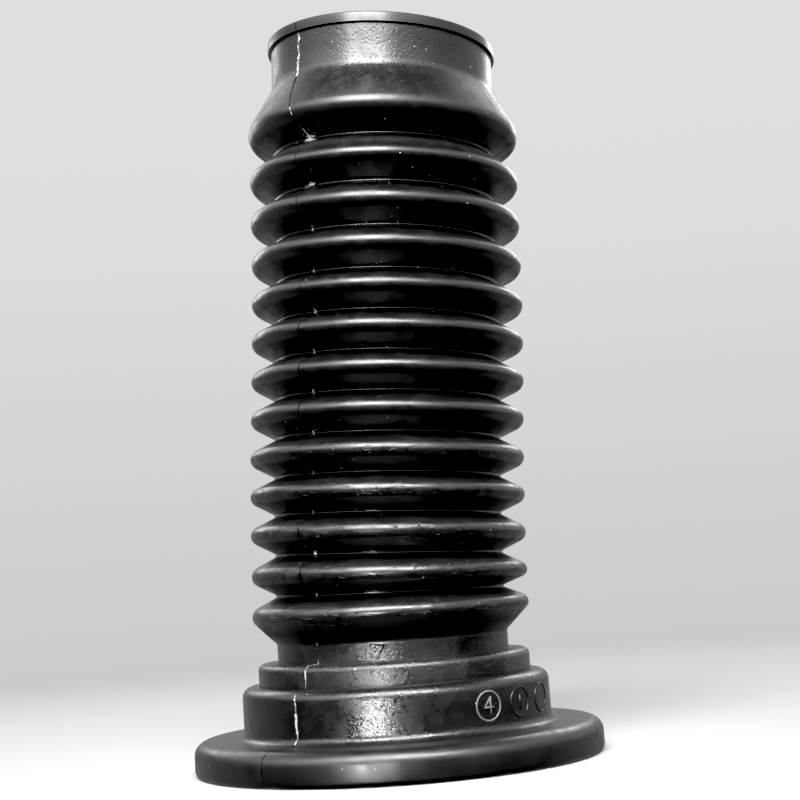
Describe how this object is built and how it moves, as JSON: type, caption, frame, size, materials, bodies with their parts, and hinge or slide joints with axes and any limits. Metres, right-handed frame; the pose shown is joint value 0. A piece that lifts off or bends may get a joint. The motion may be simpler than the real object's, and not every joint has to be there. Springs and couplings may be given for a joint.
{
  "type": "rubber bellows boot",
  "caption": "Black rubber strut boot moulded in one piece: a flanged and stepped base, a column of round folds, a shoulder cone and a plain cuff with a rim, open right through.",
  "frame": {"origin": "centre of the flange's flat lower face, on the boot's axis", "axes": "+Z along the boot's axis from the flange to the cuff; +X to the right and +Y away from the viewer in the picture"},
  "size_m": [0.114, 0.114, 0.2049],
  "materials": {
    "black_rubber": "glossy moulded black rubber"
  },
  "bodies": {
    "root": {"bellows_boot": "black_rubber"}
  },
  "joints": []
}
